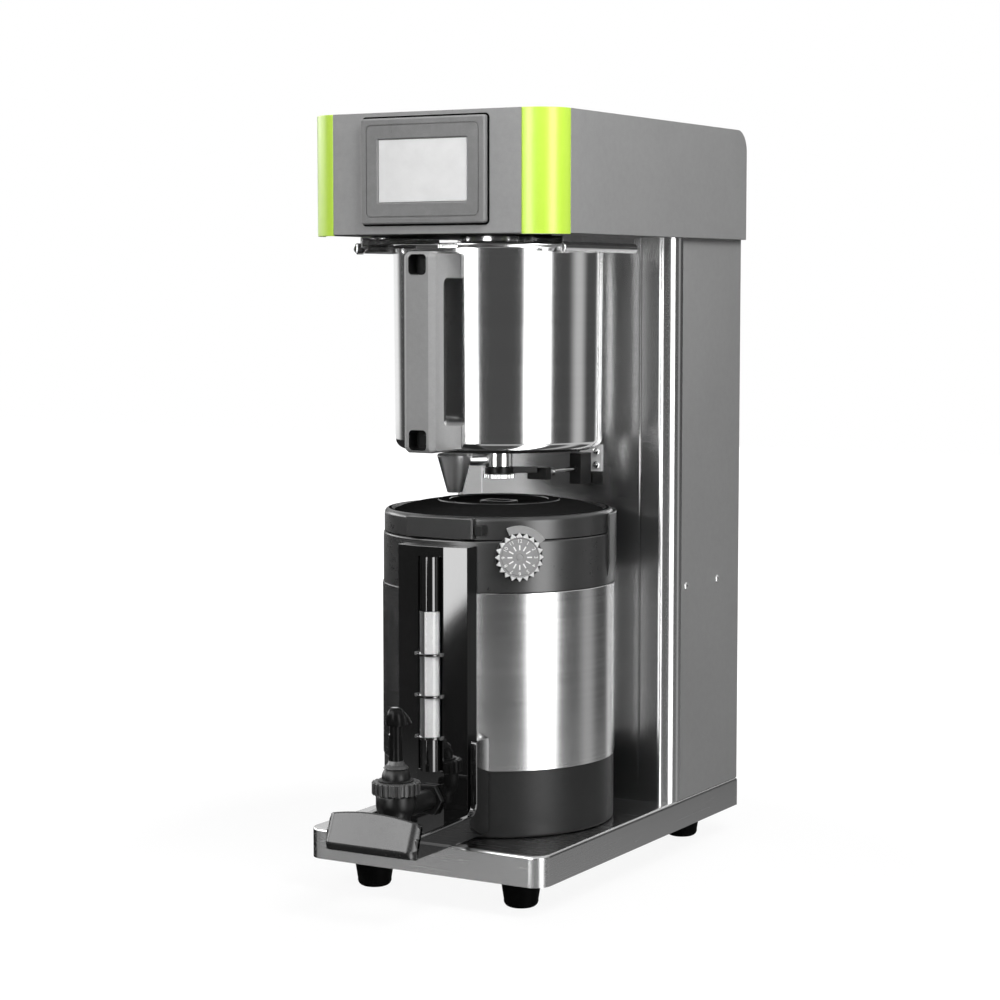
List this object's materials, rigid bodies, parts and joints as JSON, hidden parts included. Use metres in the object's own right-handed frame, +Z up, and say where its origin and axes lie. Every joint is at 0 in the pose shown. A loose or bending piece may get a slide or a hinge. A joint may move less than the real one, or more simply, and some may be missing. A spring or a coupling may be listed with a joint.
{
  "type": "tea brewing machine",
  "caption": "Free-standing tea brewing machine: a tall column carries a head with a touch display, a polished brew basket on rails and a thermal server with sight gauge and faucet below.",
  "frame": {"origin": "on the floor, at the middle of the whole machine's footprint", "axes": "+X to the right seen from the front, +Y to the back, +Z up; the front with the display and the faucet faces -Y"},
  "size_m": [0.27, 0.5444, 0.7418],
  "materials": {
    "brushed_steel": "brushed",
    "polished_steel": "mirror polished",
    "grey_paint": "satin, fine texture",
    "dark_floor": "satin",
    "lime_trim": "satin gloss",
    "bezel_grey": "fine moulded grain",
    "screen": "pale lit panel behind glass",
    "handle_grey": "moulded grain",
    "black_plastic": "moulded grain",
    "gloss_black": "glossy",
    "rubber": "matte",
    "sight_glass": "clear",
    "dial_clear": "silvered clear plastic with pale marks",
    "heater_copper": "copper sheath",
    "inlet_brass": "machined",
    "board": "solder mask"
  },
  "bodies": {
    "machine": {"base_tray": "brushed_steel", "base_plate": "brushed_steel", "foot_front_left": "rubber", "foot_front_right": "rubber", "foot_rear_left": "rubber", "foot_rear_right": "rubber", "column_front_panel": "brushed_steel", "column_side_left": "grey_paint", "column_side_right": "grey_paint", "column_back_panel": "grey_paint", "machine_screws": "polished_steel", "boiler_shelf": "brushed_steel", "boiler_tank": "brushed_steel", "heating_element": "heater_copper", "hot_water_tube": "brushed_steel", "dispense_valve": "black_plastic", "inlet_valve": "black_plastic", "water_inlet_fitting": "inlet_brass", "cable_gland": "black_plastic", "switch_frame": "black_plastic", "head_floor_plate": "dark_floor", "head_side_left": "grey_paint", "head_side_right": "grey_paint", "head_top_cover": "grey_paint", "head_front_panel": "grey_paint", "corner_trim_left": "lime_trim", "corner_trim_right": "lime_trim", "display_bezel": "bezel_grey", "display_screen": "screen", "control_board": "board", "spray_head": "polished_steel", "rail_left": "polished_steel", "rail_right": "polished_steel", "actuator_bracket": "brushed_steel", "actuator_box": "black_plastic"},
    "rocker": {"power_rocker": "black_plastic"},
    "actuator_pin": {"actuator_pin": "polished_steel"},
    "basket": {"basket_pot": "polished_steel", "basket_handle": "handle_grey", "handle_screws": "polished_steel", "filter_plate": "brushed_steel", "valve_body": "polished_steel", "pour_spout": "polished_steel"},
    "valve_lever": {"valve_lever": "black_plastic"},
    "server": {"server_base": "black_plastic", "server_band": "brushed_steel", "server_collar": "black_plastic", "server_liner": "brushed_steel", "server_lid": "black_plastic", "gauge_housing": "gloss_black", "gauge_glass": "sight_glass", "gauge_rings": "black_plastic", "faucet_body": "black_plastic", "faucet_nut": "black_plastic", "faucet_guard": "gloss_black", "dial_plate": "black_plastic"},
    "faucet_lever": {"faucet_lever": "black_plastic"},
    "dial": {"dial_disc": "dial_clear"}
  },
  "joints": [
    {"name": "basket_slide", "type": "slide", "parent": "machine", "child": "basket", "axis": [0, -1, 0], "range_m": [0, 0.19]},
    {"name": "server_slide", "type": "slide", "parent": "machine", "child": "server", "axis": [0, -1, 0], "range_m": [0, 0.26]},
    {"name": "faucet_lever_tilt", "type": "hinge", "parent": "server", "child": "faucet_lever", "pos_m": [0, -0.22125, 0.1297], "axis": [1, 0, 0], "range_deg": [0, 25], "stiffness_Nm_per_rad": 0.2},
    {"name": "dial_turn", "type": "hinge", "parent": "server", "child": "dial", "pos_m": [0.07321, -0.12056, 0.3285], "axis": [0.6361, -0.7716, 0], "continuous": true},
    {"name": "actuator_push", "type": "slide", "parent": "machine", "child": "actuator_pin", "axis": [0, -1, 0], "range_m": [0, 0.008], "stiffness_N_per_m": 120},
    {"name": "valve_lever_turn", "type": "hinge", "parent": "basket", "child": "valve_lever", "pos_m": [0, -0.03175, 0.3988], "axis": [0, 0, 1], "range_deg": [-20.1, 0]},
    {"name": "rocker_tilt", "type": "hinge", "parent": "machine", "child": "rocker", "pos_m": [0.052, 0.25025, 0.1955], "axis": [1, 0, 0], "range_deg": [-16, 0]}
  ],
  "couplings": [
    {"joint": "valve_lever_turn", "follows": "actuator_push", "rad_per_m": -43.633}
  ]
}
